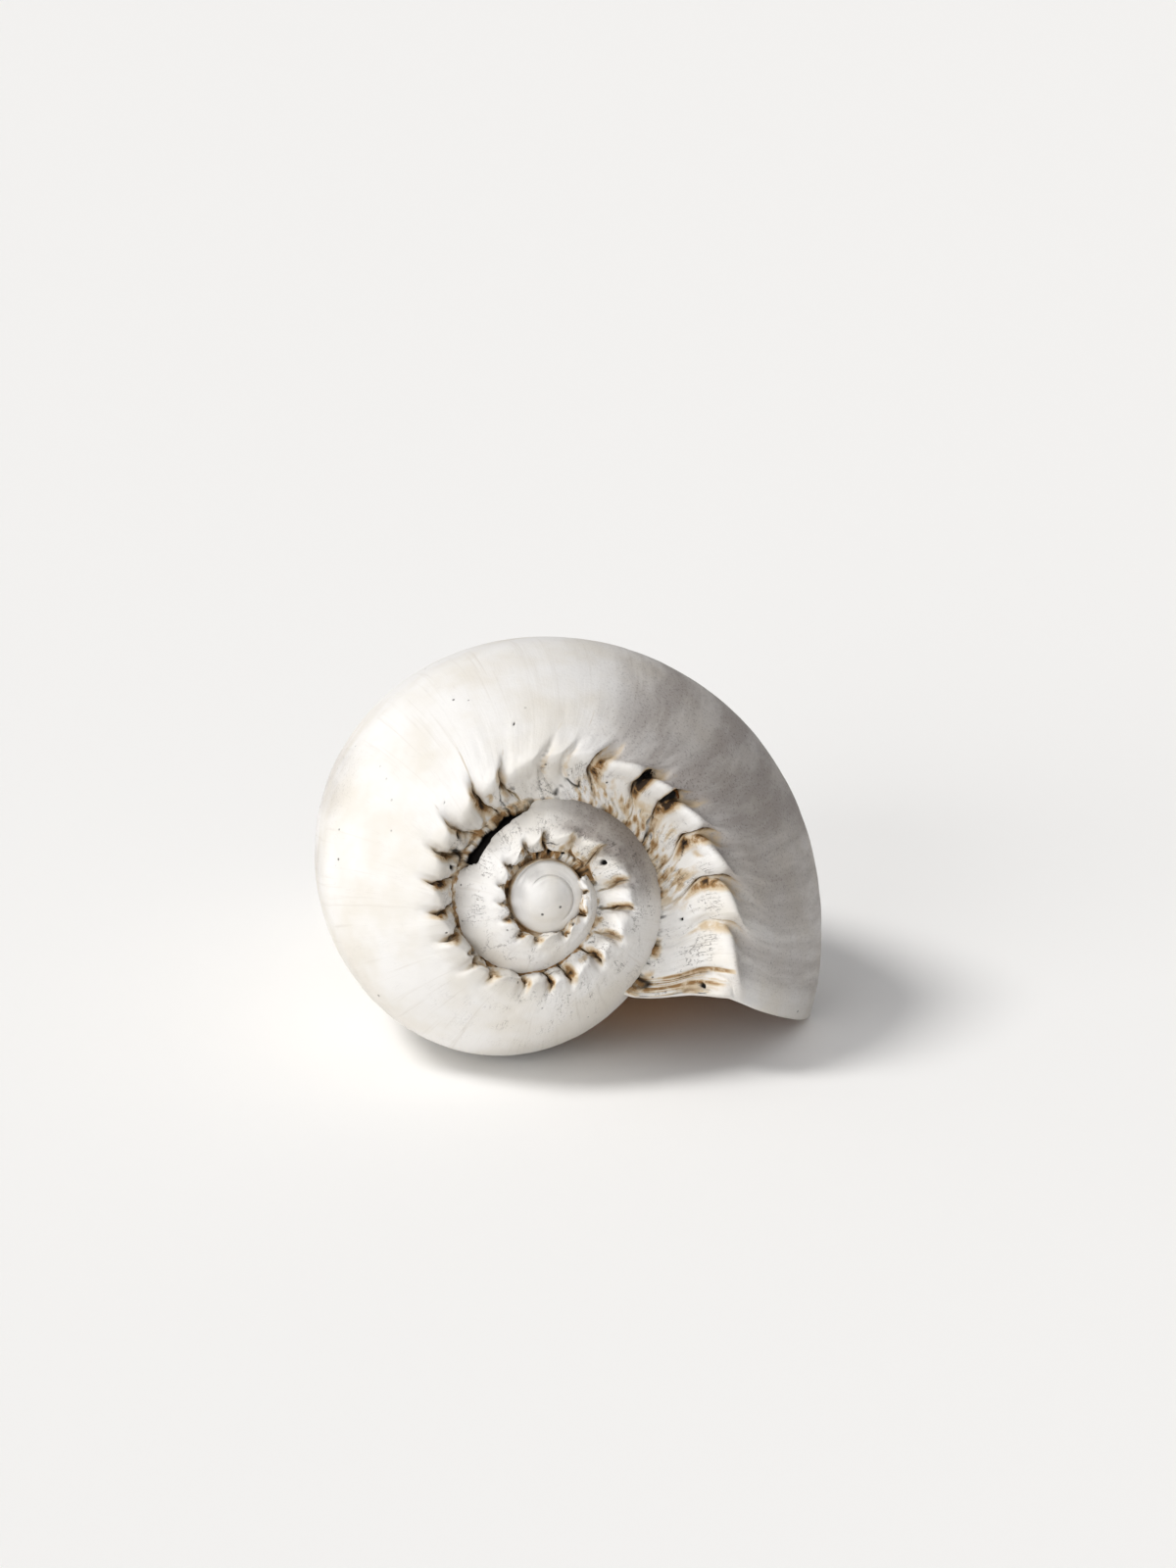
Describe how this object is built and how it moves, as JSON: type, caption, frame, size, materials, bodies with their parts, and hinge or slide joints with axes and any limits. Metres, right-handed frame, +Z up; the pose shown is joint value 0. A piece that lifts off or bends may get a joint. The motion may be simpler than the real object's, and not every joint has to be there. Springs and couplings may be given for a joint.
{
  "type": "melon shell",
  "caption": "Large bleached sea-snail shell with a low spire, a knobbed shoulder and a wide body whorl, resting on its hollow opening.",
  "frame": {"origin": "centre of the footprint's bounding box, on the surface that carries the shell", "axes": "+Z up, -Y towards the spire and the viewer, +Y towards the front tip, +X towards the outer lip"},
  "size_m": [0.1462, 0.1912, 0.1128],
  "materials": {
    "shell": "chalky, bleached aragonite shell with brown stains in its hollows"
  },
  "bodies": {
    "root": {"shell": "shell"}
  },
  "joints": []
}
